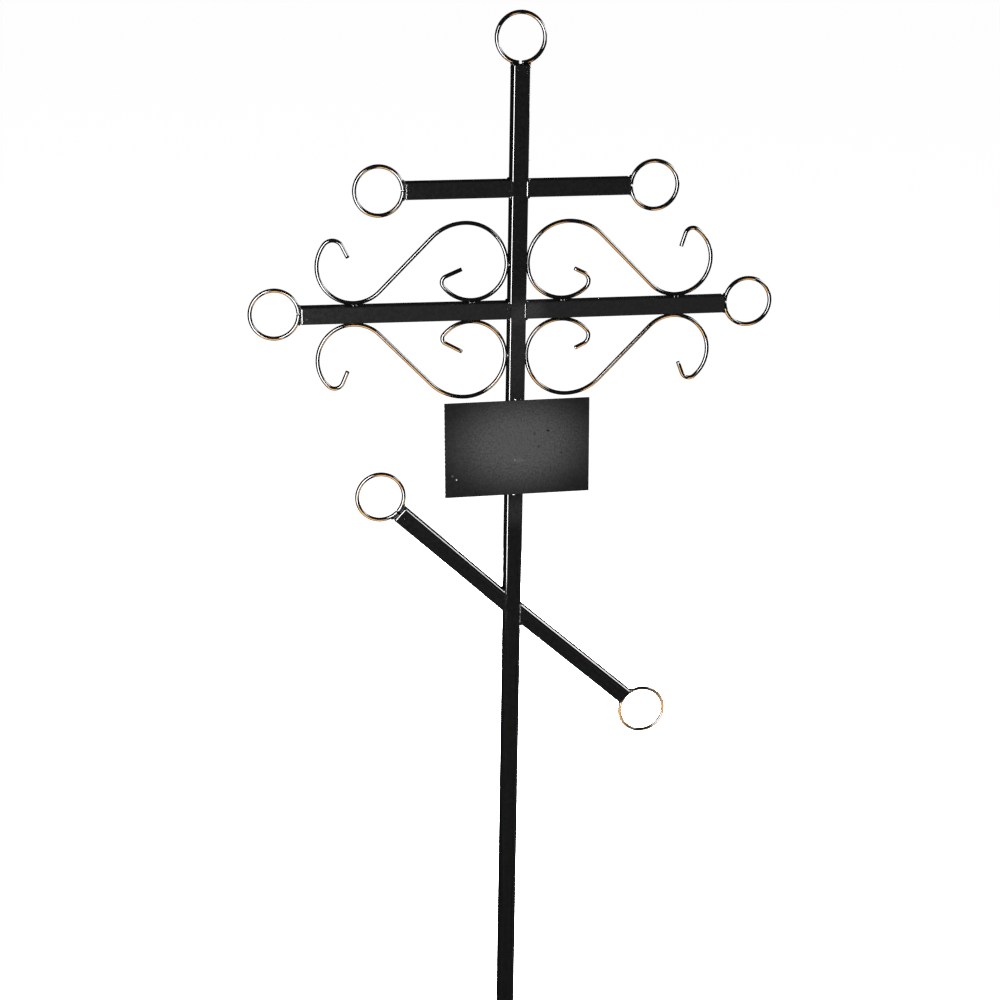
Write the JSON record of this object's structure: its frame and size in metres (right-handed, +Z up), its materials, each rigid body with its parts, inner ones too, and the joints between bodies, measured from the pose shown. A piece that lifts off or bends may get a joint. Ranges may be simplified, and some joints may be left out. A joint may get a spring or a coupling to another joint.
{
  "type": "wrought iron grave cross",
  "caption": "Slender black enamelled Orthodox grave cross of square tube, with a slanted foot bar, ring ends, S-scrolls of round bar and a blank name plate, to be set in the ground.",
  "frame": {"origin": "centre of the square post where it enters the ground", "axes": "+Z up along the post; the front with the name plate faces -Y; +X to the viewer's right, so the slanted foot bar falls towards +X"},
  "size_m": [0.7842, 0.0273, 1.6131],
  "materials": {
    "tube": "glossy black enamel over steel tube",
    "round_bar": "glossy black enamel over round steel bar",
    "plate": "satin black enamel over steel sheet"
  },
  "bodies": {
    "root": {"post": "tube", "top_cap": "tube", "top_ring": "round_bar", "upper_bar_left": "tube", "upper_cap_left": "tube", "upper_ring_left": "round_bar", "upper_bar_right": "tube", "upper_cap_right": "tube", "upper_ring_right": "round_bar", "main_bar_left": "tube", "main_cap_left": "tube", "main_ring_left": "round_bar", "main_bar_right": "tube", "main_cap_right": "tube", "main_ring_right": "round_bar", "foot_bar_left": "tube", "foot_cap_left": "tube", "foot_ring_left": "round_bar", "foot_bar_right": "tube", "foot_cap_right": "tube", "foot_ring_right": "round_bar", "scroll_upper_left": "round_bar", "scroll_upper_right": "round_bar", "scroll_lower_left": "round_bar", "scroll_lower_right": "round_bar", "name_plate": "plate"}
  },
  "joints": []
}
